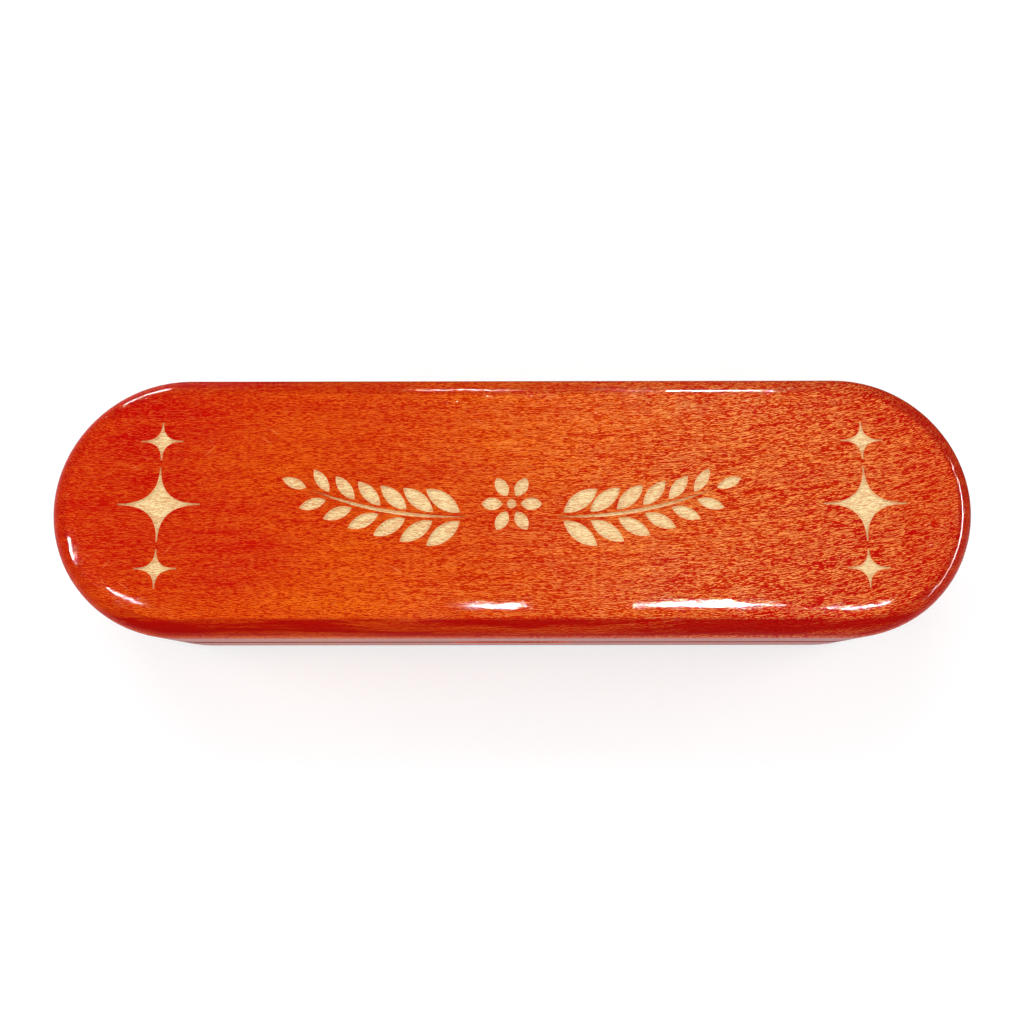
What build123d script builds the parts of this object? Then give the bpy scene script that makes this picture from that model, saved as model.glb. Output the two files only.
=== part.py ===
from build123d import *
from math import atan, cos, degrees, radians, sin, sqrt, tan
import os

# Wooden brush box: two shallow shells, each milled from one piece of wood, with straight
# sides and half-round ends. They close face to face at a seam and turn on two small brass
# butt hinges let into the back edge. Origin: centre of the underside. X runs along the
# box, the thumb notch faces -Y, the hinges are at +Y, and Z is up. All sizes are in mm.

# ---- the outside ----
box_length = 175.0
box_width = 50.0
base_height = 14.0
lid_height = 15.0
lid_edge_radius = 3.4
crown_width = 4.2         # the top slopes off over this width, inside the rounded edge
crown_drop = 0.28
base_edge_radius = 3.0
seam_chamfer = 0.4

# ---- the hollows ----
wall_thickness = 7.5
floor_thickness = 3.5
roof_thickness = 4.0

# ---- the thumb notch, half in each shell ----
notch_width = 26.0
notch_height = 4.8

# ---- the back: hinges in a V between two bevels, which meet when the lid is open ----
lid_opening = 100.0       # degrees
axis_inset = 1.4          # from the back face to the hinge axis
stop_gap = 0.12           # between each bevel and the plane where they would meet
hinge_spacing = 80.0
hinge_length = 18.0
knuckle_count = 5
knuckle_gap = 0.2
barrel_radius = 1.1
barrel_play = 0.25
pin_radius = 0.5
pin_play = 0.05           # in the lid's knuckles, which turn on the pin
pin_bite = 0.01           # in the base's knuckles, which grip it
leaf_thickness = 0.8
leaf_relief = 0.05        # each leaf lies this far behind the seam
leaf_land = 1.2           # wood left between a leaf and the hollow
mortise_play = 0.1

# ---- hinge screws ----
screw_length = 6.5
screw_radius = 0.7
screw_head_radius = 1.2
screw_head_height = 0.55
screw_tip_length = 1.2
screw_spacing = 10.0
screw_hole_play = 0.05
thread_bite = 0.1
screw_slot_width = 0.3
screw_slot_depth = 0.22
screw_slot_angles = (25, -40)

# ---- closing magnets ----
magnet_radius = 2.0
magnet_thickness = 1.5
magnet_recess = 0.1
magnet_spacing = 90.0
magnet_play = 0.05

# ---- velvet bands round the hollows ----
lining_thickness = 0.6
lining_setback = 0.4      # from the seam
glue_gap = 0.1

# ---- brush insert ----
insert_thickness = 6.0
insert_play = 0.3
channel_count = 3
channel_land = 2.2        # between two channels
channel_margin = 1.5      # between a channel and the insert's outline
channel_floor = 1.2
scoop_width = 26.0
scoop_floor = 1.0

# ---- lid pad ----
board_thickness = 1.0
pad_play = 0.3
pad_thickness = 2.4
pad_edge_thickness = 1.0
pad_side_bulge = 0.3

# ---- engraving in the lid ----
engraving_depth = 0.3
star_inset = 21.0         # from the end of the box to the middle of the stars
large_star_width = 15.6
large_star_height = 14.2
small_star_width = 8.0
small_star_height = 7.4
star_gap = 1.4
star_tip_width = 0.3
sprig_start = (8.2, -2.4)
sprig_end = (38.0, 2.8)
sprig_sag = 1.6
stem_width = 0.7
leaf_pairs = 6
first_leaf_place = 0.3    # from the stem's start, in steps from leaf to leaf
longest_leaf = 8.0
shortest_leaf = 5.0
leaf_slimness = 0.4       # width over length
leaf_angle = 36.0
leaf_offset = 0.8         # from the stem's middle line to the foot of a leaf
petal_count = 6
petal_length = 4.0
petal_width = 2.4
petal_offset = 1.7
bud_radius = 0.9

# ---- places worked out from the sizes ----
end_radius = box_width / 2
spine = box_length / 2 - end_radius
seam_z = base_height
top_z = base_height + lid_height
roof_z = top_z - roof_thickness
hollow_radius = end_radius - wall_thickness
lining_radius = hollow_radius - glue_gap - lining_thickness
insert_radius = lining_radius - insert_play
insert_top_z = floor_thickness + insert_thickness
pad_radius = lining_radius - pad_play
board_z = roof_z - board_thickness
hinge_y = end_radius - axis_inset
bevel_angle = lid_opening / 2
leaf_front_y = hinge_y - (wall_thickness - axis_inset - leaf_land)
screw_y = (leaf_front_y + hinge_y - barrel_radius) / 2
knuckle_pitch = hinge_length / knuckle_count
magnet_y = wall_thickness / 2 - end_radius
star_x = box_length / 2 - star_inset
star_spacing = (large_star_height + small_star_height) / 2 + star_gap
spare = 1.0               # how far cutters run past what they cut

below, above = -1, 1      # sides of the seam: the base and the lid


def outline(*edges):
    """A flat half section: x is the distance from the middle line, y is the height."""
    return Plane.XZ * make_face(edges)


def arc(x, z, radius, first, last):
    """An arc about (x, z). Its angles are in degrees, clockwise from straight up."""
    angles = [radians(angle) for angle in (first, (first + last) / 2, last)]
    return ThreePointArc(*[(x + radius * sin(a), z + radius * cos(a)) for a in angles])


def round_ended(section, half_spine):
    """Runs a half section round both ends and along both sides of the middle line."""
    front = Rot(0, 0, -90) * section
    side = extrude(front, amount=half_spine, both=True)
    end = Pos(half_spine, 0, 0) * revolve(front, Axis.Z, 180)
    half = side + end
    return half + Rot(0, 0, 180) * half


def slab(radius, low, high):
    """A flat block with half-round ends."""
    slot = SlotOverall(2 * (spine + radius), 2 * radius)
    return Pos(0, 0, low) * extrude(slot, amount=high - low)


def block(x_range, y_range, z_range):
    ranges = (x_range, y_range, z_range)
    sizes = [abs(high - low) for low, high in ranges]
    return Pos(*[(low + high) / 2 for low, high in ranges]) * Box(*sizes)


def on_hinge_axis(x, radius, length):
    """A cylinder on the axis that the lid turns about."""
    return Pos(x, hinge_y, seam_z) * Rot(0, 90, 0) * Cylinder(radius, length)


# ---------------------------------------------------------------- wooden shells


def lid_section():
    """Flat top, a slight slope at its rim, a rounded edge and a straight side."""
    crown_angle = 2 * degrees(atan(crown_drop / crown_width))
    crown_radius = crown_width / sin(radians(crown_angle))
    edge_x = end_radius - lid_edge_radius
    edge_z = top_z - crown_drop - lid_edge_radius * cos(radians(crown_angle))
    crown_x = edge_x + lid_edge_radius * sin(radians(crown_angle)) - crown_width
    return outline(
        Line((0, top_z), (crown_x, top_z)),
        arc(crown_x, top_z - crown_radius, crown_radius, 0, crown_angle),
        arc(edge_x, edge_z, lid_edge_radius, crown_angle, 90),
        Polyline((end_radius, edge_z), (end_radius, seam_z + seam_chamfer),
                 (end_radius - seam_chamfer, seam_z), (0, seam_z), (0, top_z)))


def base_section():
    """Flat underside, a rounded edge and a straight side."""
    edge_x = end_radius - base_edge_radius
    return outline(
        Line((0, 0), (edge_x, 0)),
        arc(edge_x, base_edge_radius, base_edge_radius, 180, 90),
        Polyline((end_radius, base_edge_radius), (end_radius, seam_z - seam_chamfer),
                 (end_radius - seam_chamfer, seam_z), (0, seam_z), (0, 0)))


def back_bevel(side):
    """Cutter for the sloping face behind the hinge axis."""
    start_y = hinge_y - stop_gap / sin(radians(bevel_angle))
    end_y = end_radius + spare
    rise = (end_y - start_y) * tan(radians(bevel_angle))
    corner = Polyline((start_y, seam_z), (end_y, seam_z + side * rise),
                      (end_y, seam_z), close=True)
    return extrude(Plane.YZ * make_face(corner), amount=box_length / 2, both=True)


def thumb_notch():
    """The groove that a disc cutter with a round rim leaves in the front."""
    depth = notch_height / 2
    disc_radius = ((notch_width / 2) ** 2 + depth ** 2) / (2 * depth)
    return (Pos(0, depth - disc_radius - end_radius, seam_z)
            * Torus(disc_radius - depth, depth))


def hinge_recess(x, side):
    """Cutter for one leaf's mortise and its half of the barrel's groove."""
    length = hinge_length + 2 * mortise_play
    mortise = block((x - length / 2, x + length / 2),
                    (leaf_front_y - mortise_play, hinge_y),
                    (seam_z, seam_z + side * (leaf_relief + leaf_thickness)))
    return mortise + on_hinge_axis(x, barrel_radius + barrel_play, length)


def screw_places(x):
    return [x - screw_spacing / 2, x + screw_spacing / 2]


def hole(x, y, side, radius, depth):
    """Cutter for a round hole that starts at the seam."""
    return Pos(x, y, seam_z + side * depth / 2) * Cylinder(radius, depth)


def fit_out(shell, side):
    """Cuts the bevel, the notch, the hinge recesses, screw holes and magnet pockets."""
    shell -= back_bevel(side)
    shell -= thumb_notch()
    for hinge_x in (-hinge_spacing / 2, hinge_spacing / 2):
        shell -= hinge_recess(hinge_x, side)
        for x in screw_places(hinge_x):
            shell -= hole(x, screw_y, side, screw_radius - thread_bite,
                          leaf_relief + screw_length)
    for x in (-magnet_spacing / 2, magnet_spacing / 2):
        shell -= hole(x, magnet_y, side, magnet_radius + magnet_play,
                      magnet_recess + magnet_thickness)
    return shell


def base_shell():
    shell = round_ended(base_section(), spine)
    shell -= slab(hollow_radius, floor_thickness, seam_z + spare)
    return fit_out(shell, below)


def lid_shell():
    shell = round_ended(lid_section(), spine)
    shell -= slab(hollow_radius, seam_z - spare, roof_z)
    shell = fit_out(shell, above)
    floor = Pos(0, 0, top_z - engraving_depth)
    for figure in engraving():
        shell -= floor * extrude(figure, amount=engraving_depth + spare)
    return shell


# ---------------------------------------------------------------- engraving


def star(width, height):
    """Four blunt points, with hollow sides that bend towards the middle."""
    blunt = star_tip_width / 2
    side = Bezier((width / 2, blunt), (0, 0), (blunt, height / 2))
    quarter = make_face([side, Polyline(side @ 1, (0, height / 2), (0, 0),
                                        (width / 2, 0), side @ 0)])
    half = quarter + mirror(quarter, about=Plane.YZ)
    return half + mirror(half, about=Plane.XZ)


def pointed_leaf(length, width):
    """A leaf from the origin along +X, between two arcs."""
    sides = [ThreePointArc((0, 0), (length / 2, bow), (length, 0))
             for bow in (width / 2, -width / 2)]
    return make_face(sides)


def sprig():
    """A bowed stem with pairs of leaves that get smaller towards its tip."""
    chord = Line(sprig_start, sprig_end)
    down = (chord % 0).rotate(Axis.Z, -90)
    low, middle, high = [
        ThreePointArc(sprig_start, (chord @ 0.5) + down * (sprig_sag + offset), sprig_end)
        for offset in (stem_width / 2, 0, -stem_width / 2)]
    figures = [make_face([low, high])]

    def add_leaf(place, length, turn, offset):
        heading = middle % place
        foot = (middle @ place) + offset * leaf_offset
        angle = degrees(atan(heading.Y / heading.X)) + turn * leaf_angle
        leaf = pointed_leaf(length, length * leaf_slimness)
        figures.append(Pos(foot.X, foot.Y) * Rot(0, 0, angle) * leaf)

    for number in range(leaf_pairs):
        place = (number + first_leaf_place) / leaf_pairs
        length = longest_leaf + place * (shortest_leaf - longest_leaf)
        for turn in (1, -1):
            add_leaf(place, length, turn, (middle % place).rotate(Axis.Z, turn * 90))
    add_leaf(1, shortest_leaf, 0, middle % 1)
    return figures


def rosette():
    """Petals round a bud in the middle of the lid."""
    petal = Pos(petal_offset, 0) * pointed_leaf(petal_length, petal_width)
    turns = [360 * number / petal_count for number in range(petal_count)]
    return [Rot(0, 0, turn) * petal for turn in turns] + [Circle(bud_radius)]


def end_stars(x):
    """One large star between two small ones, across the lid."""
    small = star(small_star_width, small_star_height)
    return [Pos(x, 0) * star(large_star_width, large_star_height),
            Pos(x, star_spacing) * small, Pos(x, -star_spacing) * small]


def engraving():
    right = sprig()
    left = [mirror(figure, about=Plane.YZ) for figure in right]
    return right + left + rosette() + end_stars(star_x) + end_stars(-star_x)


# ---------------------------------------------------------------- hinges and magnets


def knuckle_places(x, side):
    """Every other place along the barrel. The base has the first and the last."""
    first = 0 if side == below else 1
    start = x - hinge_length / 2
    return [start + knuckle_pitch * (number + 0.5)
            for number in range(first, knuckle_count, 2)]


def into_wood(side):
    """Turns what points down so that it points into its own shell."""
    return Rot(180, 0, 0) if side == above else Rot(0, 0, 0)


def screw_seat():
    """Cutter for a countersunk hole, its wide end at the origin."""
    seat = Cone(screw_radius + screw_hole_play, screw_head_radius + screw_hole_play,
                screw_head_height)
    bore = Cylinder(screw_radius + screw_hole_play, 2 * leaf_thickness + spare)
    return bore + Pos(0, 0, -screw_head_height / 2) * seat


def hinge_leaf(x, side):
    """A plate in its mortise, with every other knuckle of the barrel."""
    near = seam_z + side * leaf_relief
    leaf = block((x - hinge_length / 2, x + hinge_length / 2),
                 (leaf_front_y, hinge_y), (near, near + side * leaf_thickness))
    for place in knuckle_places(x, -side):
        leaf -= on_hinge_axis(place, barrel_radius + barrel_play, knuckle_pitch)
    for place in knuckle_places(x, side):
        leaf += on_hinge_axis(place, barrel_radius, knuckle_pitch - knuckle_gap)
    bore = pin_radius - pin_bite if side == below else pin_radius + pin_play
    leaf -= on_hinge_axis(x, bore, hinge_length + spare)
    for screw_x in screw_places(x):
        leaf -= Pos(screw_x, screw_y, near) * into_wood(side) * screw_seat()
    return leaf


def screw():
    """A slotted countersunk wood screw, point down, its top at the origin."""
    section = make_face(Polyline(
        (0, 0), (screw_head_radius, 0), (screw_radius, -screw_head_height),
        (screw_radius, screw_tip_length - screw_length), (0, -screw_length), close=True))
    slot = Box(2 * screw_head_radius + spare, screw_slot_width, 2 * screw_slot_depth)
    return revolve(Plane.XZ * section, Axis.Z) - slot


def hinge_screws(x, side):
    """The two screws of one leaf, with their slots at different angles."""
    near = seam_z + side * leaf_relief
    return Compound(children=[
        Pos(screw_x, screw_y, near) * into_wood(side) * Rot(0, 0, angle) * screw()
        for screw_x, angle in zip(screw_places(x), screw_slot_angles)])


def magnet(x, side):
    middle = magnet_recess + magnet_thickness / 2
    disc = Cylinder(magnet_radius, magnet_thickness)
    return Pos(x, magnet_y, seam_z + side * middle) * disc


# ---------------------------------------------------------------- soft and lined pieces


def wall_lining(low, high):
    """A velvet band against the wall of a hollow."""
    outer = slab(hollow_radius - glue_gap, low, high)
    return outer - slab(lining_radius, low - spare, high + spare)


def channel(radius, end_x):
    """Cutter for a brush channel with a round floor and round ends, from end to end."""
    low = floor_thickness + channel_floor
    high = max(insert_top_z, low + radius) + spare
    return round_ended(outline(
        arc(0, low + radius, radius, 180, 90),
        Polyline((radius, low + radius), (radius, high), (0, high), (0, low))), end_x)


def finger_scoop():
    """Cutter for the dip across the middle, where fingers reach under the brushes."""
    depth = insert_thickness - scoop_floor
    radius = ((scoop_width / 2) ** 2 + depth ** 2) / (2 * depth)
    low = floor_thickness + scoop_floor
    return Pos(0, 0, low + radius) * Rot(90, 0, 0) * Cylinder(radius, box_width)


def brush_insert():
    """Foam block with brush channels that stay one margin inside its outline."""
    insert = slab(insert_radius, floor_thickness, insert_top_z)
    lands = (channel_count - 1) * channel_land + 2 * channel_margin
    radius = (insert_radius - lands / 2) / channel_count
    reach = insert_radius - channel_margin - radius
    for number in range(channel_count):
        y = (number - (channel_count - 1) / 2) * (2 * radius + channel_land)
        end_x = spine + sqrt(max(reach ** 2 - y ** 2, 0))
        insert -= Pos(0, y, 0) * channel(radius, end_x)
    return insert - finger_scoop()


def lid_pad_board():
    return slab(pad_radius, board_z, roof_z)


def lid_pad_cushion():
    """Satin over foam: flat on its board, with bulging sides and a crowned face."""
    edge_x = pad_radius - pad_side_bulge
    edge_z = board_z - pad_edge_thickness
    low_z = board_z - pad_thickness
    side = ThreePointArc((edge_x, board_z), (pad_radius, (board_z + edge_z) / 2),
                         (edge_x, edge_z))
    crown = TangentArc((0, low_z), (edge_x, edge_z), tangent=(1, 0))
    return round_ended(outline(Line((0, board_z), (edge_x, board_z)), side, crown,
                               Line((0, low_z), (0, board_z))), spine)


# ---------------------------------------------------------------- the whole box


def build():
    pieces = {
        "base_shell": base_shell(),
        "lid_shell": lid_shell(),
        "brush_insert": brush_insert(),
        "base_wall_lining": wall_lining(floor_thickness, seam_z - lining_setback),
        "lid_wall_lining": wall_lining(seam_z + lining_setback, roof_z),
        "lid_pad_board": lid_pad_board(),
        "lid_pad_cushion": lid_pad_cushion(),
    }
    for hand, sign in (("left", -1), ("right", 1)):
        hinge_x = sign * hinge_spacing / 2
        magnet_x = sign * magnet_spacing / 2
        pieces[f"{hand}_hinge_pin"] = on_hinge_axis(hinge_x, pin_radius, hinge_length)
        for half, side in (("base", below), ("lid", above)):
            pieces[f"{hand}_hinge_{half}_leaf"] = hinge_leaf(hinge_x, side)
            pieces[f"{hand}_hinge_{half}_screws"] = hinge_screws(hinge_x, side)
            pieces[f"{hand}_{half}_magnet"] = magnet(magnet_x, side)
    return pieces


os.makedirs("parts", exist_ok=True)
for node, shape in build().items():
    export_step(shape, f"parts/{node}.step")
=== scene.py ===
import math
import bmesh
import bpy
from mathutils import Matrix, Vector, noise as pattern


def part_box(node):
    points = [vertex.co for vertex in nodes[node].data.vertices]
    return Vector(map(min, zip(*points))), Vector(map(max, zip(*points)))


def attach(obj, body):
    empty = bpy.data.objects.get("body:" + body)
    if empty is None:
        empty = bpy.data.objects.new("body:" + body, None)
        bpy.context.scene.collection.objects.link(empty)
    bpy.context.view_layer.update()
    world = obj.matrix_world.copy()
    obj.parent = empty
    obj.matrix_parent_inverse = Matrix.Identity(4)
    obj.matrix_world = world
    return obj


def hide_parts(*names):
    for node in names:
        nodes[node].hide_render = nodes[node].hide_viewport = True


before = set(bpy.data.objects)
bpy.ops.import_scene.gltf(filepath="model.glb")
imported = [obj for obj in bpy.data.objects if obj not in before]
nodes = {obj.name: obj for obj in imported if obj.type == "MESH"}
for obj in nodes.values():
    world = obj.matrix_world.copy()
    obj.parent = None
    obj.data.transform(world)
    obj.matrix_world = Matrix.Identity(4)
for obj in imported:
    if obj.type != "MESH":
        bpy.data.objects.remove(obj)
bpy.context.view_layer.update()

# A lacquered brush box: red-orange gloss over fine-grained wood, bare wood in the engraving,
# brass hinges, velvet brush insert and satin lid pad. Lengths in the dictionaries are in mm,
# a pattern's scale is its cells per metre.

mm = 0.001
print("frame loaded")


def asVector(place):
    return Vector(place) * mm


# what the box measures, read from the frame

lidLow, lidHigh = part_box("lid_shell")
endRadius = (lidHigh.y - lidLow.y) / 2
spine = (lidHigh.x - lidLow.x) / 2 - endRadius      # middle of each round end, from the centre
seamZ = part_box("base_shell")[1].z
topZ = lidHigh.z


# helpers that build node trees

def addNode(tree, kind, settings=None, inputs=None):
    node = tree.nodes.new(kind)
    for name, value in (settings or {}).items():
        setattr(node, name, value)
    for name, value in (inputs or {}).items():
        if isinstance(value, bpy.types.NodeSocket):
            tree.links.new(value, node.inputs[name])
        else:
            node.inputs[name].default_value = value
    return node


def math2(tree, operation, a, b=0.0, clamp=False):
    node = addNode(tree, "ShaderNodeMath", {"operation": operation, "use_clamp": clamp},
                   {0: a, 1: b})
    return node.outputs[0]


def mixColor(tree, factor, a, b):
    node = addNode(tree, "ShaderNodeMix", {"data_type": "RGBA"}, {0: factor, 6: a, 7: b})
    return node.outputs[2]


def mixValue(tree, factor, a, b):
    node = addNode(tree, "ShaderNodeMix", {"data_type": "FLOAT"}, {0: factor, 2: a, 3: b})
    return node.outputs[0]


def remap(tree, value, low, high, toLow=0.0, toHigh=1.0):
    node = addNode(tree, "ShaderNodeMapRange", {"interpolation_type": "SMOOTHSTEP"},
                   {0: value, 1: low, 2: high, 3: toLow, 4: toHigh})
    return node.outputs[0]


def between(tree, place, start, end, atStart=0.0, atEnd=1.0):
    # a smooth change from one place in mm to another
    return remap(tree, place, start * mm, end * mm, atStart, atEnd)


def noise(tree, vector, scale=1.0, detail=2.0, roughness=0.5):
    node = addNode(tree, "ShaderNodeTexNoise", None,
                   {"Vector": vector, "Scale": scale, "Detail": detail,
                    "Roughness": roughness})
    return node.outputs[0]


def stretched(tree, vector, scale, offset=(0, 0, 0), turn=0.0):
    node = addNode(tree, "ShaderNodeMapping", None,
                   {"Vector": vector, "Location": offset,
                    "Rotation": (0, 0, math.radians(turn)), "Scale": scale})
    return node.outputs[0]


def newGroup(name, inputs, outputs):
    tree = bpy.data.node_groups.new(name, "ShaderNodeTree")
    for label, kind in inputs:
        tree.interface.new_socket(label, in_out="INPUT", socket_type=kind)
    for label, kind in outputs:
        tree.interface.new_socket(label, in_out="OUTPUT", socket_type=kind)
    return tree, tree.nodes.new("NodeGroupInput"), tree.nodes.new("NodeGroupOutput")


def useGroup(tree, group, **inputs):
    node = addNode(tree, "ShaderNodeGroup", {"node_tree": group})
    for label, value in inputs.items():
        if isinstance(value, bpy.types.NodeSocket):
            tree.links.new(value, node.inputs[label])
        else:
            node.inputs[label].default_value = value
    return node


def newMaterial(name):
    material = bpy.data.materials.new(name)
    material.use_nodes = True
    tree = material.node_tree
    tree.nodes.clear()
    surface = tree.nodes.new("ShaderNodeBsdfPrincipled")
    output = tree.nodes.new("ShaderNodeOutputMaterial")
    tree.links.new(surface.outputs[0], output.inputs[0])
    place = tree.nodes.new("ShaderNodeTexCoord").outputs["Object"]
    return material, tree, surface, place


def applyFinish(tree, surface, color, rough, height):
    # height is in mm; roughness is a plain number where it is the same all over
    bump = addNode(tree, "ShaderNodeBump", None, {"Height": height, "Distance": mm})
    tree.links.new(color, surface.inputs["Base Color"])
    tree.links.new(bump.outputs[0], surface.inputs["Normal"])
    if isinstance(rough, bpy.types.NodeSocket):
        tree.links.new(rough, surface.inputs["Roughness"])
    else:
        surface.inputs["Roughness"].default_value = rough


def dress(material, *names):
    for name in names:
        slots = nodes[name].material_slots
        for slot in slots:
            slot.material = material


def rgb(red, green, blue):
    # a colour as seen, 0 to 255, to the linear values that the shader takes
    def toLinear(value):
        value /= 255
        return value / 12.92 if value <= 0.04045 else ((value + 0.055) / 1.055) ** 2.4
    return (toLinear(red), toLinear(green), toLinear(blue), 1.0)


# effects that are groups, placed in the materials with their own values

def outlineDistance():
    # distance from the line between the middles of the two round ends
    tree, source, result = newGroup(
        "outlineDistance", [("Place", "NodeSocketVector")], [("Distance", "NodeSocketFloat")])
    parts = addNode(tree, "ShaderNodeSeparateXYZ", None, {0: source.outputs["Place"]})
    past = math2(tree, "SUBTRACT", math2(tree, "ABSOLUTE", parts.outputs[0]), spine)
    past = math2(tree, "MAXIMUM", past, 0.0)
    flat = addNode(tree, "ShaderNodeCombineXYZ", None, {0: past, 1: parts.outputs[1]})
    length = addNode(tree, "ShaderNodeVectorMath", {"operation": "LENGTH"},
                     {0: flat.outputs[0]})
    tree.links.new(length.outputs["Value"], result.inputs["Distance"])
    return tree


grainLook = {
    "waveScale": (52, 90, 90), "wave": 2.4,              # how far the grain wanders, mm
    "shortRun": 1350, "longRun": 290, "fineness": 6200,  # streaks along the grain and across it
    "streakStart": 1.3, "streakShift": 0.5,
    # towards -X the grain is finer, with shorter streaks
    "longShare": (-60, 10, 0.1, 0.36), "longFleckShare": 0.35,
    "poreLevels": (0.0, 0.048), "fleckLevels": (-0.042, -0.098),
    "bandScale": (34, 560, 560), "bandLevels": (0.32, 0.68),
    "mottleScale": (24, 44, 44), "mottleLevels": (0.36, 0.64),
}


def woodGrain():
    # masks of a fine-pored wood whose grain runs along X, wavy and a little aslant at +X
    look = grainLook
    tree, source, result = newGroup(
        "woodGrain", [("Place", "NodeSocketVector"), ("Slant", "NodeSocketFloat")],
        [("Pores", "NodeSocketFloat"), ("Flecks", "NodeSocketFloat"),
         ("Bands", "NodeSocketFloat"), ("Mottle", "NodeSocketFloat")])
    place = source.outputs["Place"]
    parts = addNode(tree, "ShaderNodeSeparateXYZ", None, {0: place})
    wave = noise(tree, stretched(tree, place, look["waveScale"]), detail=2)
    wave = math2(tree, "MULTIPLY", math2(tree, "SUBTRACT", wave, 0.5), look["wave"] * mm)
    lean = math2(tree, "MAXIMUM", parts.outputs[0], 0.0)
    lean = math2(tree, "MULTIPLY", math2(tree, "MULTIPLY", lean, lean),
                 source.outputs["Slant"])
    across = math2(tree, "ADD", math2(tree, "SUBTRACT", parts.outputs[1], lean), wave)
    grain = addNode(tree, "ShaderNodeCombineXYZ", None,
                    {0: parts.outputs[0], 1: across, 2: parts.outputs[2]}).outputs[0]
    # streaks, each a noise less itself a little across the grain, so dark and pale lie in pairs
    streaks = []
    for run in (look["shortRun"], look["longRun"]):
        halves = []
        for shift in (0, look["streakShift"]):
            moved = stretched(tree, grain, (run, look["fineness"], look["fineness"]),
                              (look["streakStart"], shift, 0.8 * shift))
            halves.append(noise(tree, moved, detail=1))
        streaks.append(math2(tree, "SUBTRACT", *halves))
    longShare = between(tree, parts.outputs[0], *look["longShare"])
    poreStreaks = mixValue(tree, longShare, *streaks)
    fleckStreaks = mixValue(tree, look["longFleckShare"], *streaks)
    bands = noise(tree, stretched(tree, grain, look["bandScale"]), detail=3, roughness=0.62)
    mottle = noise(tree, stretched(tree, place, look["mottleScale"], (1.9, 0.4, 2.2)), detail=2.5)
    for label, value, levels in (("Pores", poreStreaks, look["poreLevels"]),
                                 ("Flecks", fleckStreaks, look["fleckLevels"]),
                                 ("Bands", bands, look["bandLevels"]),
                                 ("Mottle", mottle, look["mottleLevels"])):
        tree.links.new(remap(tree, value, *levels), result.inputs[label])
    return tree


hairlineLook = {
    "directions": ((28, (0.3, 2.2, 0)), (-47, (5.1, 1.4, 0))),      # degrees, and an offset
    "stretch": (210, 3600, 900), "levels": (0.84, 0.87),
}


def hairlines():
    # sparse fine scratches in two directions
    tree, source, result = newGroup(
        "hairlines", [("Place", "NodeSocketVector"), ("Fineness", "NodeSocketFloat")],
        [("Mask", "NodeSocketFloat")])
    found = []
    for turn, offset in hairlineLook["directions"]:
        turned = stretched(tree, source.outputs["Place"], (1, 1, 1), turn=turn)
        scaled = addNode(tree, "ShaderNodeVectorMath", {"operation": "SCALE"},
                         {0: stretched(tree, turned, hairlineLook["stretch"], offset),
                          "Scale": source.outputs["Fineness"]})
        lines = noise(tree, scaled.outputs[0], detail=0)
        found.append(remap(tree, lines, *hairlineLook["levels"]))
    tree.links.new(math2(tree, "MAXIMUM", *found), result.inputs["Mask"])
    return tree


groups = {"distance": outlineDistance(), "grain": woodGrain(), "hairlines": hairlines()}
print("shared effects built")


# lacquered wood, bare in the engraving; a range is two places in mm and the level at each,
# or where its name ends in Levels, two values of a pattern and the level at each

lacquerLook = {
    # how orange the stain is: along X, at the low left, in clouds and in streaks
    "red": rgb(206, 12, 0), "orange": rgb(240, 102, 0),
    "leftTone": (-74, -22, -0.2, 0.46), "rightTone": (5, 84, 0.0, 0.67),
    "lowAcross": (-8, -21), "lowAlong": (10, -40, -0.16, 0.32),
    "cloudTone": 0.42, "streakTone": 0.3,
    # dark pores, pale flecks and scratches; end grain takes the stain more evenly
    "pore": rgb(196, 0, 0), "poreAlong": (-10, 60, 0.86, 1.0), "slant": 1.3,
    "fleck": rgb(248, 122, 24), "paleFleck": rgb(255, 170, 88),
    "fleckAlong": (-45, 50, 0.27, 0.94), "fleckRight": (62, 82, 1.0, 0.76),
    "sideFlecks": 0.5, "endGrain": (2, 22, 1.0, 0.45),
    "scratch": rgb(255, 190, 130), "scratchDepth": 0.28,
    # the rounded edge is darker with stain all round; along the front and at the right end
    # painted shade darkens it further
    "rim": rgb(172, 0, 0), "rimInner": (21.2, 21.9), "rimOuter": (24.4, 24.9, 1.0, 0.0),
    "rimShadeFront": (-18.5, -21.5, 0.3, 0.95), "rimShadeRight": (58, 76, 0.0, 0.7),
    "rimThinLevels": (0.35, 0.95, 1.0, 0.6), "rimFromTop": (-5.5, -4.5),
    # painted shade along the seam and round the foot; the notch is as deep and round as cut
    "seamFootShade": rgb(96, 8, 2), "seamHalf": (0.5, 1.9, 1.0, 0.0), "foot": (2.6, 5.2, 1.0, 0.0),
    "outerWall": (23.6, 24.2), "notchDepth": 2.4, "notchRadius": 36.4,
    # the engraving's floor and the lower part of its walls, inside the flat of the lid
    "paleWood": rgb(255, 230, 170), "paleStreak": rgb(220, 126, 36), "paleStreakDepth": 0.7,
    "bareFromTop": (-0.1, -0.14), "bareLowest": -0.38, "flatRadius": 17.4,
    # gloss on top, less below the rounded edge, satin on the lands at the seam
    "upperFromTop": (-3.4, -2.2), "gloss": 0.03, "sideRoughness": 0.2, "landRoughness": 0.65,
    "landHalf": (0.05, 0.3, 1.0, 0.0), "seamFootRoughness": 1.0, "bareRoughness": 0.6,
    "lacquerIor": 1.27,
    # relief in mm
    "rippleScale": (160, 240, 240), "ripple": 0.012,
    "fineScale": (520, 1400, 1400), "fineRipple": 0.009, "fleckRelief": 0.0004,
    "pitScale": 1900, "pitLevels": (0.65, 0.74), "pitDepth": 0.012, "sideRelief": 0.15,
}


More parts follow.
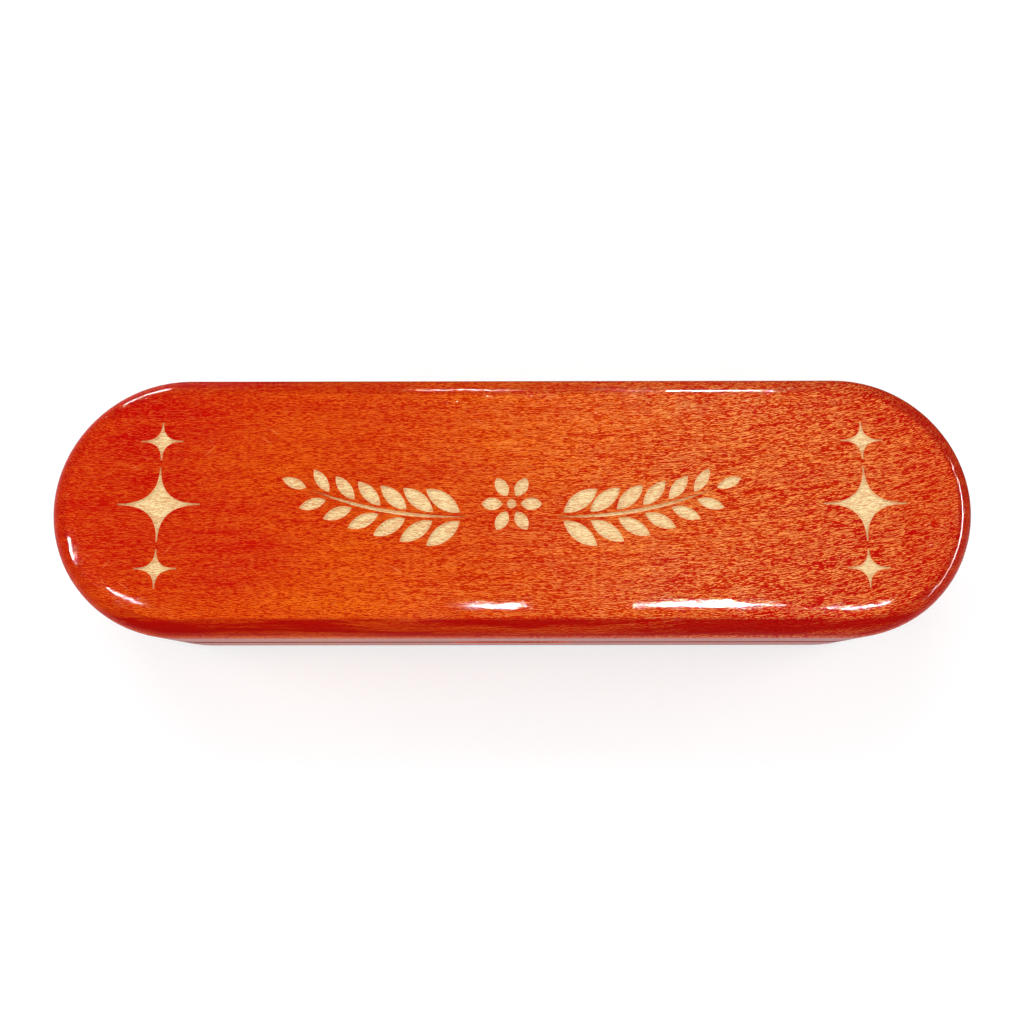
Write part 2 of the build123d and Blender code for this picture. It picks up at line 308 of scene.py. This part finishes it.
def lacquer():
    look = lacquerLook
    material, tree, surface, place = newMaterial("glossLacquer")
    distance = useGroup(tree, groups["distance"], Place=place).outputs["Distance"]
    grain = useGroup(tree, groups["grain"], Place=place, Slant=look["slant"])
    x, y, z = addNode(tree, "ShaderNodeSeparateXYZ", None, {0: place}).outputs
    pores, flecks = grain.outputs["Pores"], grain.outputs["Flecks"]
    fromTop = math2(tree, "SUBTRACT", z, topZ)
    upper = between(tree, fromTop, *look["upperFromTop"])

    # stain
    along = math2(tree, "SUBTRACT", between(tree, x, *look["leftTone"]),
                  between(tree, x, *look["rightTone"]))
    low = between(tree, y, *look["lowAcross"], 0.0, between(tree, x, *look["lowAlong"]))
    clouds = math2(tree, "MULTIPLY", grain.outputs["Mottle"], look["cloudTone"])
    streak = math2(tree, "SUBTRACT", grain.outputs["Bands"], 0.5)
    streak = math2(tree, "MULTIPLY", streak, look["streakTone"])
    tone = math2(tree, "ADD", along, clouds)
    tone = math2(tree, "ADD", math2(tree, "ADD", tone, low), streak, clamp=True)
    color = mixColor(tree, tone, look["red"], look["orange"])

    # pores, flecks and scratches
    past = math2(tree, "SUBTRACT", math2(tree, "ABSOLUTE", x), spine)
    ends = mixValue(tree, upper, between(tree, past, *look["endGrain"]), 1.0)
    dark = math2(tree, "MULTIPLY", between(tree, x, *look["poreAlong"]), ends)
    color = mixColor(tree, math2(tree, "MULTIPLY", pores, dark), color, look["pore"])
    bright = math2(tree, "MULTIPLY", between(tree, x, *look["fleckAlong"]),
                   between(tree, x, *look["fleckRight"]))
    bright = math2(tree, "MULTIPLY", math2(tree, "MULTIPLY", bright, ends),
                   mixValue(tree, upper, look["sideFlecks"], 1.0))
    color = mixColor(tree, math2(tree, "MULTIPLY", flecks, bright), color,
                     mixColor(tree, bright, look["fleck"], look["paleFleck"]))
    scratches = useGroup(tree, groups["hairlines"], Place=place, Fineness=1.0).outputs["Mask"]
    color = mixColor(tree, math2(tree, "MULTIPLY", scratches, look["scratchDepth"]), color,
                     look["scratch"])

    # the rounded edge: stain all round, deepened by painted shade along the front and at the
    # right end
    deep = math2(tree, "MAXIMUM", between(tree, y, *look["rimShadeFront"]),
                 between(tree, x, *look["rimShadeRight"]))
    rim = between(tree, distance, *look["rimInner"], 0.0, deep)
    rim = math2(tree, "MULTIPLY", rim, between(tree, fromTop, *look["rimFromTop"]))
    thinned = remap(tree, grain.outputs["Bands"], *look["rimThinLevels"])
    outer = math2(tree, "MULTIPLY", between(tree, distance, *look["rimOuter"]), thinned)
    color = mixColor(tree, math2(tree, "MULTIPLY", rim, outer), color, look["rim"])

    # painted shade along the seam and round the foot, kept to the outer wall, which steps in at
    # the thumb notch
    seam = math2(tree, "ABSOLUTE", math2(tree, "SUBTRACT", z, seamZ))
    seamFootShade = math2(tree, "MAXIMUM", between(tree, seam, *look["seamHalf"]),
                     between(tree, z, *look["foot"]))
    bow = math2(tree, "DIVIDE", math2(tree, "POWER", x, 2.0), 2 * look["notchRadius"] * mm)
    notch = math2(tree, "MAXIMUM", math2(tree, "SUBTRACT", look["notchDepth"] * mm, bow), 0.0)
    notch = math2(tree, "MULTIPLY", notch, math2(tree, "LESS_THAN", y, 0.0))
    outside = between(tree, math2(tree, "ADD", distance, notch), *look["outerWall"])
    seamFootShade = math2(tree, "MULTIPLY", seamFootShade, outside)
    color = mixColor(tree, seamFootShade, color, look["seamFootShade"])

    # bare wood
    under = between(tree, fromTop, *look["bareFromTop"])
    over = math2(tree, "GREATER_THAN", fromTop, look["bareLowest"] * mm)
    inside = math2(tree, "LESS_THAN", distance, look["flatRadius"] * mm)
    bare = math2(tree, "MULTIPLY", math2(tree, "MULTIPLY", under, over), inside)
    pale = mixColor(tree, math2(tree, "MULTIPLY", pores, look["paleStreakDepth"]),
                    look["paleWood"], look["paleStreak"])
    color = mixColor(tree, bare, color, pale)

    ripple = noise(tree, stretched(tree, place, look["rippleScale"]), detail=1.5)
    fine = noise(tree, stretched(tree, place, look["fineScale"]), detail=1)
    relief = math2(tree, "ADD", math2(tree, "MULTIPLY", ripple, look["ripple"]),
                   math2(tree, "MULTIPLY", fine, look["fineRipple"]))
    relief = math2(tree, "ADD", relief, math2(tree, "MULTIPLY", flecks, look["fleckRelief"]))
    pits = noise(tree, place, look["pitScale"], detail=0)
    relief = math2(tree, "SUBTRACT", relief,
                   remap(tree, pits, *look["pitLevels"], 0.0, look["pitDepth"]))
    relief = math2(tree, "MULTIPLY", relief, mixValue(tree, upper, look["sideRelief"], 1.0))

    rough = mixValue(tree, upper, look["sideRoughness"], look["gloss"])
    rough = mixValue(tree, between(tree, seam, *look["landHalf"]), rough, look["landRoughness"])
    rough = mixValue(tree, seamFootShade, rough, look["seamFootRoughness"])
    rough = mixValue(tree, bare, rough, look["bareRoughness"])
    surface.inputs["IOR"].default_value = look["lacquerIor"]
    applyFinish(tree, surface, color, rough, relief)
    return material


dress(lacquer(), "lid_shell", "base_shell")
print("shells lacquered")


# brass hinges, nickel magnets and greyboard

metalLooks = {
    "wornHingeBrass": {"metal": rgb(232, 190, 108), "tarnish": rgb(158, 108, 50),
                       "bright": rgb(255, 226, 160), "roughness": 0.28, "grain": 9000},
    "turnedPinBrass": {"metal": rgb(240, 200, 120), "tarnish": rgb(170, 120, 60),
                       "bright": rgb(255, 230, 170), "roughness": 0.22, "grain": 6000},
    "agedScrewBrass": {"metal": rgb(214, 166, 84), "tarnish": rgb(120, 82, 40),
                       "bright": rgb(250, 214, 140), "roughness": 0.34, "grain": 7000},
}
wearLook = {"cloudScale": 520, "cloudLevels": (0.44, 0.68), "tarnishDepth": 0.75,
            "scratchFineness": 2.6, "scratchDepth": 0.7, "scratchRelief": 0.006,
            "brushedLevels": (0.3, 0.7, 0.0, 0.1), "brushedRelief": 0.004, "dulling": 0.18}


def brass(name):
    # brushed along X, tarnished in clouds, with a few hairline scratches
    look, wear = metalLooks[name], wearLook
    material, tree, surface, place = newMaterial(name)
    brushed = noise(tree, stretched(tree, place, (260, look["grain"], look["grain"])),
                    detail=2)
    cloud = noise(tree, place, wear["cloudScale"], detail=4, roughness=0.62)
    aged = remap(tree, cloud, *wear["cloudLevels"])
    scratches = useGroup(tree, groups["hairlines"], Place=place,
                         Fineness=wear["scratchFineness"]).outputs["Mask"]
    color = mixColor(tree, math2(tree, "MULTIPLY", aged, wear["tarnishDepth"]), look["metal"],
                     look["tarnish"])
    color = mixColor(tree, math2(tree, "MULTIPLY", scratches, wear["scratchDepth"]), color,
                     look["bright"])
    rough = math2(tree, "ADD", remap(tree, brushed, *wear["brushedLevels"]),
                  mixValue(tree, aged, look["roughness"], look["roughness"] + wear["dulling"]))
    height = math2(tree, "SUBTRACT", math2(tree, "MULTIPLY", brushed, wear["brushedRelief"]),
                   math2(tree, "MULTIPLY", scratches, wear["scratchRelief"]))
    surface.inputs["Metallic"].default_value = 1.0
    applyFinish(tree, surface, color, rough, height)
    return material


magnetLook = {"middle": (45, -21.25), "rings": 5200, "ringRelief": 0.01,
              "metal": rgb(226, 224, 218), "dull": rgb(172, 168, 160), "dullDepth": 0.6,
              "spotScale": 1100, "spotLevels": (0.5, 0.7), "roughness": 0.3, "dulling": 0.16}


def nickel():
    # turned face: fine rings about the magnet's middle
    look = magnetLook
    material, tree, surface, place = newMaterial("turnedNickel")
    x, y, _ = addNode(tree, "ShaderNodeSeparateXYZ", None, {0: place}).outputs
    aside = math2(tree, "SUBTRACT", math2(tree, "ABSOLUTE", x), look["middle"][0] * mm)
    away = math2(tree, "SUBTRACT", y, look["middle"][1] * mm)
    flat = addNode(tree, "ShaderNodeCombineXYZ", None, {0: aside, 1: away})
    radius = addNode(tree, "ShaderNodeVectorMath", {"operation": "LENGTH"},
                     {0: flat.outputs[0]}).outputs["Value"]
    ring = addNode(tree, "ShaderNodeCombineXYZ", None, {0: radius})
    rings = noise(tree, ring.outputs[0], look["rings"], detail=2)
    dull = remap(tree, noise(tree, place, look["spotScale"], detail=3), *look["spotLevels"])
    color = mixColor(tree, math2(tree, "MULTIPLY", dull, look["dullDepth"]), look["metal"],
                     look["dull"])
    rough = mixValue(tree, dull, look["roughness"], look["roughness"] + look["dulling"])
    surface.inputs["Metallic"].default_value = 1.0
    applyFinish(tree, surface, color, rough, math2(tree, "MULTIPLY", rings, look["ringRelief"]))
    return material


boardLook = {"paper": rgb(168, 158, 142), "fibre": rgb(128, 118, 102), "roughness": 0.9,
             "fibreScale": (900, 2600, 2600), "fibreLevels": (0.45, 0.7), "relief": 0.04}


def greyboard():
    look = boardLook
    material, tree, surface, place = newMaterial("greyboard")
    fibres = noise(tree, stretched(tree, place, look["fibreScale"]), detail=3)
    color = mixColor(tree, remap(tree, fibres, *look["fibreLevels"]), look["paper"],
                     look["fibre"])
    applyFinish(tree, surface, color, look["roughness"],
           math2(tree, "MULTIPLY", fibres, look["relief"]))
    return material


def onBothSides(*names):
    return [side + name for side in ("left_", "right_") for name in names]


dress(brass("wornHingeBrass"), *onBothSides("hinge_base_leaf", "hinge_lid_leaf"))
dress(brass("turnedPinBrass"), *onBothSides("hinge_pin"))
dress(brass("agedScrewBrass"), *onBothSides("hinge_base_screws", "hinge_lid_screws"))
dress(nickel(), *onBothSides("base_magnet", "lid_magnet"))
dress(greyboard(), "lid_pad_board")
print("fittings finished")


# helpers that build meshes

def addPiece(name, bm, material, body, slot, *stands):
    mesh = bpy.data.meshes.new(name)
    bmesh.ops.recalc_face_normals(bm, faces=bm.faces)
    for face in bm.faces:
        face.smooth = True
    bm.to_mesh(mesh)
    bm.free()
    piece = bpy.data.objects.new(name, mesh)
    bpy.context.scene.collection.objects.link(piece)
    mesh.materials.append(material)
    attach(piece, body)
    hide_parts(*stands)
    return piece


def cadCopy(node, scale=1.0):
    # the node's loose triangles as one closed surface
    bm = bmesh.new()
    bm.from_mesh(nodes[node].data)
    bmesh.ops.remove_doubles(bm, verts=bm.verts, dist=2e-6)
    bmesh.ops.scale(bm, vec=(scale, scale, scale), verts=bm.verts)
    return bm


def baked(bm, *settings):
    # a bmesh after modifiers, each given as (kind, its values)
    mesh = bpy.data.meshes.new("working")
    bm.to_mesh(mesh)
    bm.free()
    piece = bpy.data.objects.new("working", mesh)
    bpy.context.scene.collection.objects.link(piece)
    for kind, values in settings:
        modifier = piece.modifiers.new(kind.lower(), kind)
        for name, value in values.items():
            setattr(modifier, name, value)
    graph = bpy.context.evaluated_depsgraph_get()
    result = bmesh.new()
    result.from_object(piece, graph)
    bpy.data.objects.remove(piece)
    bpy.data.meshes.remove(mesh)
    return result


def soften(bm, rounds):
    for _ in range(rounds):
        bmesh.ops.smooth_vert(bm, verts=bm.verts, factor=0.5, use_axis_x=True,
                              use_axis_y=True, use_axis_z=True)


# velvet over the foam insert and round the walls

velvetLook = {
    "pile": rgb(118, 16, 32), "brushed": rgb(166, 36, 54), "shade": rgb(58, 4, 14),
    "napScale": (90, 210, 210), "napLevels": (0.38, 0.66), "napRelief": 0.25,
    "fibre": 4200, "shadeLevels": (0.6, 0.36, 0.0, 0.75), "relief": 0.14,
    "sheen": rgb(240, 126, 134), "sheenWeight": 0.75, "sheenRoughness": 0.36,
    "roughness": 0.85, "specular": 0.25,
}


def velvet():
    look = velvetLook
    material, tree, surface, place = newMaterial("winePlushVelvet")
    # the nap was stroked this way and that, in patches with soft streaks inside them
    nap = noise(tree, stretched(tree, place, look["napScale"]), detail=4, roughness=0.62)
    swept = remap(tree, nap, *look["napLevels"])
    fibre = noise(tree, stretched(tree, place, (0.6, 1, 1)), look["fibre"], detail=1)
    color = mixColor(tree, swept, look["pile"], look["brushed"])
    color = mixColor(tree, remap(tree, fibre, *look["shadeLevels"]), color, look["shade"])
    height = math2(tree, "ADD", math2(tree, "MULTIPLY", fibre, look["relief"]),
                   math2(tree, "MULTIPLY", nap, look["napRelief"]))
    surface.inputs["Specular IOR Level"].default_value = look["specular"]
    surface.inputs["Sheen Weight"].default_value = look["sheenWeight"]
    surface.inputs["Sheen Roughness"].default_value = look["sheenRoughness"]
    surface.inputs["Sheen Tint"].default_value = look["sheen"]
    applyFinish(tree, surface, color, look["roughness"], height)
    return material


insertLook = {"voxel": 0.45, "rounds": 20}


def brushInsert(material):
    # foam with soft-edged channels; remeshed, then relaxed so that its edges round over
    bm = baked(cadCopy("brush_insert", 10),
               ("REMESH", {"mode": "VOXEL", "voxel_size": insertLook["voxel"] * 10 * mm}))
    soften(bm, insertLook["rounds"])
    bmesh.ops.scale(bm, vec=(0.1, 0.1, 0.1), verts=bm.verts)
    piece = addPiece("velvetBrushInsert", bm, material, "base", "velvet", "brush_insert")
    return piece


liningLook = {"segments": 96, "thickness": 0.5, "edge": 0.2, "inset": 0.05, "rows": 6}


def wallLining(name, node, body, material):
    # a band of velvet glued round the hollow's wall, its cut edges rounded
    low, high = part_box(node)
    radius = high.y - liningLook["inset"] * mm
    bm = bmesh.new()
    bmesh.ops.create_circle(bm, cap_ends=False, segments=liningLook["segments"], radius=radius)
    bmesh.ops.rotate(bm, verts=bm.verts, cent=(0, 0, 0),
                     matrix=Matrix.Rotation(math.pi / liningLook["segments"], 3, "Z"))
    for vert in bm.verts:
        vert.co.x += math.copysign(spine, vert.co.x)
    bottom = low.z + liningLook["inset"] * mm
    rise = (high.z - liningLook["inset"] * mm - bottom) / liningLook["rows"]
    bmesh.ops.translate(bm, verts=bm.verts, vec=(0, 0, bottom))
    edges = list(bm.edges)
    for _ in range(liningLook["rows"]):
        grown = bmesh.ops.extrude_edge_only(bm, edges=edges)["geom"]
        edges = [part for part in grown if isinstance(part, bmesh.types.BMEdge)]
        verts = [part for part in grown if isinstance(part, bmesh.types.BMVert)]
        bmesh.ops.translate(bm, verts=verts, vec=(0, 0, rise))
    piece = addPiece(name, bm, material, body, "velvet", node)
    wall = piece.modifiers.new("thickness", "SOLIDIFY")
    wall.thickness = liningLook["thickness"] * mm
    wall.offset = -1
    rounding = piece.modifiers.new("edges", "BEVEL")
    rounding.width = liningLook["edge"] * mm
    rounding.segments = 3
    rounding.limit_method = "ANGLE"
    return piece


plush = velvet()
brushInsert(plush)
wallLining("baseVelvetBand", "base_wall_lining", "base", plush)
wallLining("lidVelvetBand", "lid_wall_lining", "lid", plush)
print("velvet laid")


# satin cushion in the lid

satinLook = {
    "cloth": rgb(250, 238, 212), "thread": rgb(234, 212, 172), "relief": 0.004,
    "warpScale": (260, 5200, 5200), "warpLevels": (0.42, 0.66, 0.0, 0.35),
    "slubScale": (50, 1300, 1300), "slubLevels": (0.6, 0.8, 0.0, 0.3),
    "roughLevels": (0.3, 0.7, 0.25, 0.33), "sheenWeight": 0.25, "sheenRoughness": 0.4,
}


def satin():
    look = satinLook
    material, tree, surface, place = newMaterial("champagneSatin")
    warp = noise(tree, stretched(tree, place, look["warpScale"]), detail=2)
    slub = noise(tree, stretched(tree, place, look["slubScale"]), detail=1)
    color = mixColor(tree, remap(tree, warp, *look["warpLevels"]), look["cloth"],
                     look["thread"])
    color = mixColor(tree, remap(tree, slub, *look["slubLevels"]), color, look["thread"])
    height = math2(tree, "MULTIPLY", math2(tree, "ADD", warp, slub), look["relief"])
    surface.inputs["Sheen Weight"].default_value = look["sheenWeight"]
    surface.inputs["Sheen Roughness"].default_value = look["sheenRoughness"]
    applyFinish(tree, surface, color, remap(tree, slub, *look["roughLevels"]), height)
    return material


cushionLook = {
    "scale": 10, "voxel": 0.8, "allowance": 0.45, "proud": 0.2,
    # cloth: held at the back, swollen by pressure, and no point moves further than mostSwell
    "quality": 6, "pressure": 3.0, "slack": -0.05, "stiffness": 0.3, "frames": 20,
    "mostSwell": 0.95, "heldDepth": 0.9, "roundsBefore": 2, "roundsAfter": 4,
    # a low crown, and pleats of uneven pitch and depth at the rim
    "crown": 0.7, "pleatPitch": 4.6, "pleatReach": 9.5, "pleatDepth": 1.5, "pleatInward": 0.3,
    "wander": 2.6, "wanderScale": 140, "unevenAlong": 90, "unevenAcross": 30,
    "evenShare": 0.7, "unevenShare": 0.6,
}


def lidCushion(material):
    # wadding under satin: swollen by a cloth simulation at ten times the size, where the
    # cloth settings behave as on a seat pad; its back face is held against the board
    look = cushionLook
    scale = look["scale"]
    low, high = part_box("lid_pad_cushion")
    bm = baked(cadCopy("lid_pad_cushion", scale),
               ("REMESH", {"mode": "VOXEL", "voxel_size": look["voxel"] * scale * mm}))
    soften(bm, look["roundsBefore"])
    # cut a little wide, since the swelling draws the rim in
    wide = [1 + look["allowance"] / (side / mm) for side in (high.x, high.y)]
    bmesh.ops.scale(bm, vec=(*wide, 1), verts=bm.verts)
    bm = inflated(bm, high.z * scale, look)
    soften(bm, look["roundsAfter"])
    bm = baked(bm, ("SUBSURF", {"levels": 1, "render_levels": 1}))
    bmesh.ops.scale(bm, vec=(1 / scale, 1 / scale, 1 / scale), verts=bm.verts)
    pleat(bm, low.z, high.z, look)
    # pressed flat again, to the depth that the lid leaves for it
    depth = high.z - min(vert.co.z for vert in bm.verts)
    pressed = (high.z - low.z + look["proud"] * mm) / depth
    for vert in bm.verts:
        vert.co.z = high.z - (high.z - vert.co.z) * pressed
    piece = addPiece("satinLidCushion", bm, material, "lid", "satin", "lid_pad_cushion")
    return piece


def pleat(bm, frontZ, backZ, look):
    # the pleats run in from the rim of the front and fade out
    rim = max(vert.co.y for vert in bm.verts)
    for vert in bm.verts:
        past = vert.co.x - max(-spine, min(spine, vert.co.x))
        outward = Vector((past, vert.co.y, 0))
        distance = outward.length
        front = max(0.0, min(1.0, (backZ - vert.co.z) / (backZ - frontZ)))
        vert.co.z -= look["crown"] * mm * front * (1 - min(distance / rim, 1.0) ** 2)
        near = 1 - (rim - distance) / (look["pleatReach"] * mm)
        if near <= 0:
            continue
        near = min(near, 1.0)
        along = vert.co.x - past + rim * math.atan2(past, abs(vert.co.y))
        spot = Vector((vert.co.x, vert.co.y, 0))
        wander = look["wander"] * pattern.noise(spot * look["wanderScale"])
        wave = 0.5 + 0.5 * math.sin(math.tau * along / (look["pleatPitch"] * mm) + wander)
        spot = Vector((along * look["unevenAlong"], 0.3, distance * look["unevenAcross"]))
        wave = wave ** 2 * (look["evenShare"] + look["unevenShare"] * pattern.noise(spot))
        depth = look["pleatDepth"] * mm * wave * front * near * near * (3 - 2 * near)
        vert.co.z += depth
        vert.co -= outward.normalized() * depth * look["pleatInward"] * near


def inflated(bm, backZ, look):
    # the mesh after the cloth simulation
    scale = look["scale"]
    mesh = bpy.data.meshes.new("satinCloth")
    bm.to_mesh(mesh)
    before = [vert.co.copy() for vert in mesh.vertices]
    piece = bpy.data.objects.new("satinCloth", mesh)
    bpy.context.scene.collection.objects.link(piece)
    held = piece.vertex_groups.new(name="held")
    held.add([vert.index for vert in mesh.vertices
              if vert.co.z > backZ - look["heldDepth"] * scale * mm], 1.0, "REPLACE")
    cloth = piece.modifiers.new("cloth", "CLOTH")
    settings = cloth.settings
    settings.quality = look["quality"]
    settings.vertex_group_mass = "held"
    settings.use_pressure = True
    settings.uniform_pressure_force = look["pressure"]
    settings.shrink_min = look["slack"]
    settings.bending_stiffness = look["stiffness"]
    settings.effector_weights.gravity = 0
    cloth.point_cache.frame_start, cloth.point_cache.frame_end = 1, look["frames"]
    scene = bpy.context.scene
    for frameNumber in range(1, look["frames"] + 1):
        scene.frame_set(frameNumber)
    result = bmesh.new()
    result.from_object(piece, bpy.context.evaluated_depsgraph_get())
    most = look["mostSwell"] * scale * mm
    for vert, old in zip(result.verts, before):
        moved = vert.co - old
        if moved.length > most:
            vert.co = old + moved * (most / moved.length)
    bpy.data.objects.remove(piece)
    bpy.data.meshes.remove(mesh)
    bm.free()
    scene.frame_set(1)
    return result


lidCushion(satin())
print("lid cushion made")


# camera, lamps, floor and room

cameraPlace = {"place": (0.5, -36.7, 220), "tilt": 10.42, "yaw": -0.144, "roll": -0.061,
               "focalPixels": 1034, "framePixels": 1024, "sensor": 36}


def addCamera():
    setup = cameraPlace
    data = bpy.data.cameras.new("camera")
    data.sensor_width = setup["sensor"]
    data.lens = setup["focalPixels"] / setup["framePixels"] * setup["sensor"]
    data.clip_start = 0.005
    camera = bpy.data.objects.new("camera", data)
    camera.location = asVector(setup["place"])
    camera.rotation_euler = [math.radians(angle)
                             for angle in (setup["tilt"], -setup["yaw"], setup["roll"])]
    bpy.context.scene.collection.objects.link(camera)
    bpy.context.scene.camera = camera


lamps = {
    # broad and soft, not mirrored in the lacquer: place, size, watts
    "softBack": ((-150, 620, 560), (620, 320), 2.9),
    "softFront": ((120, -700, 300), (620, 260), 2.8),
    "softLeft": ((-700, 40, 300), (300, 520), 2.8),
    "softRight": ((660, 120, 430), (300, 520), 2.2),
    # small and bright, each seen as one highlight or as a part of one
    "stripFrontMiddle": ((148, -15, 640), (112, 8), 0.7),
    "stripFrontCore": ((146, -11, 640), (62, 20), 1.2),
    "stripFrontLeft": ((-15, -20, 640), (44, 12), 0.5),
    "stripFrontRight": ((282, -33, 640), (80, 6), 0.5),
    "stripBackRight": ((190, 530, 640), (140, 56), 10),
    "stripBackLeft": ((-48, 655, 640), (105, 24), 1),
    "stripLeft": ((-500, 34, 640), (8, 56), 0.4),
    "stripLowLeft": ((-345, -26, 640), (84, 16), 0.32),
    "stripUpLeft": ((-415, 565, 290), (230, 54), 4.0),
    "stripRight": ((636, -2, 459), (44, 560), 4.5),
}


def addLamps():
    # each lamp faces the lid, with the first side of its size along X; the strips would turn
    # the flat magnets into white discs, so they leave them out
    glareless = bpy.data.collections.new("glareless")
    for name in onBothSides("base_magnet", "lid_magnet"):
        glareless.objects.link(nodes[name])
    for link in glareless.collection_objects:
        link.light_linking.link_state = "EXCLUDE"
    target = Vector((0, 0, topZ))
    for name, (place, size, watts) in lamps.items():
        soft = name.startswith("soft")
        data = bpy.data.lights.new(name, "AREA")
        data.shape = "RECTANGLE" if soft else "ELLIPSE"
        data.size, data.size_y = [side * mm for side in size]
        data.energy = watts
        piece = bpy.data.objects.new(name, data)
        piece.location = asVector(place)
        back = (piece.location - target).normalized()
        side = (Vector((1, 0, 0)) - back * back.x).normalized()
        piece.rotation_euler = Matrix((side, back.cross(side), back)).transposed().to_euler()
        piece.visible_camera = False
        piece.visible_glossy, piece.visible_diffuse = not soft, soft
        if not soft:
            piece.light_linking.receiver_collection = glareless
        bpy.context.scene.collection.objects.link(piece)


floorLook = {"size": 6000, "diffuse": 0.5, "glow": 0.62,
             "mirroredFront": 0.5, "mirroredBack": 0.04, "frontFrom": (15, -15),
             "leftFrom": (-80, -95)}


def addFloor():
    mesh = bpy.data.meshes.new("floor")
    bm = bmesh.new()
    bmesh.ops.create_grid(bm, x_segments=1, y_segments=1, size=floorLook["size"] / 2 * mm)
    bm.to_mesh(mesh)
    bm.free()
    floor = bpy.data.objects.new("floor", mesh)
    bpy.context.scene.collection.objects.link(floor)
    material = bpy.data.materials.new("paleFloor")
    material.use_nodes = True
    tree = material.node_tree
    tree.nodes.clear()
    grey = floorLook["diffuse"]
    diffuse = addNode(tree, "ShaderNodeBsdfDiffuse", None, {"Color": (grey, grey, grey, 1)})
    ray = addNode(tree, "ShaderNodeLightPath")
    seen = math2(tree, "MAXIMUM", ray.outputs["Is Camera Ray"],
                 ray.outputs["Is Transmission Ray"])
    glow = addNode(tree, "ShaderNodeEmission", None,
                   {"Strength": math2(tree, "MULTIPLY", seen, floorLook["glow"])})
    both = addNode(tree, "ShaderNodeAddShader", None,
                   {0: diffuse.outputs[0], 1: glow.outputs[0]})
    # what reflections see: a floor bright before the box and to its left, dark elsewhere
    parts = addNode(tree, "ShaderNodeSeparateXYZ", None,
                    {0: addNode(tree, "ShaderNodeTexCoord").outputs["Object"]})
    level = math2(tree, "MAXIMUM", between(tree, parts.outputs[1], *floorLook["frontFrom"]),
                  between(tree, parts.outputs[0], *floorLook["leftFrom"]))
    level = mixValue(tree, level, floorLook["mirroredBack"], floorLook["mirroredFront"])
    mirrored = addNode(tree, "ShaderNodeEmission", None, {"Strength": level})
    chosen = addNode(tree, "ShaderNodeMixShader", None,
                     {0: ray.outputs["Is Glossy Ray"], 1: both.outputs[0],
                      2: mirrored.outputs[0]})
    addNode(tree, "ShaderNodeOutputMaterial", None, {"Surface": chosen.outputs[0]})
    mesh.materials.append(material)


room = {"ambient": 0.28, "ceiling": 0.2, "horizon": 0.4, "sweepEnd": (0.01, 0.10)}


def addRoom():
    # white sweep behind the box for what the camera and reflections see, dim ceiling
    world = bpy.data.worlds.new("room")
    bpy.context.scene.world = world
    world.use_nodes = True
    tree = world.node_tree
    tree.nodes.clear()
    direction = addNode(tree, "ShaderNodeTexCoord").outputs["Generated"]
    height = addNode(tree, "ShaderNodeSeparateXYZ", None, {0: direction}).outputs[2]
    sweep = remap(tree, height, *room["sweepEnd"], room["horizon"], room["ceiling"])
    ray = addNode(tree, "ShaderNodeLightPath")
    mirrored = math2(tree, "MAXIMUM", ray.outputs["Is Glossy Ray"],
                     ray.outputs["Is Transmission Ray"])
    level = mixValue(tree, mirrored, room["ambient"], sweep)
    level = mixValue(tree, ray.outputs["Is Camera Ray"], level, 1.0)
    light = addNode(tree, "ShaderNodeBackground", None, {"Strength": level})
    addNode(tree, "ShaderNodeOutputWorld", None, {"Surface": light.outputs[0]})


addCamera()
addLamps()
addFloor()
addRoom()
bpy.context.scene.view_settings.view_transform = "Standard"
print("camera, lamps and floor placed")
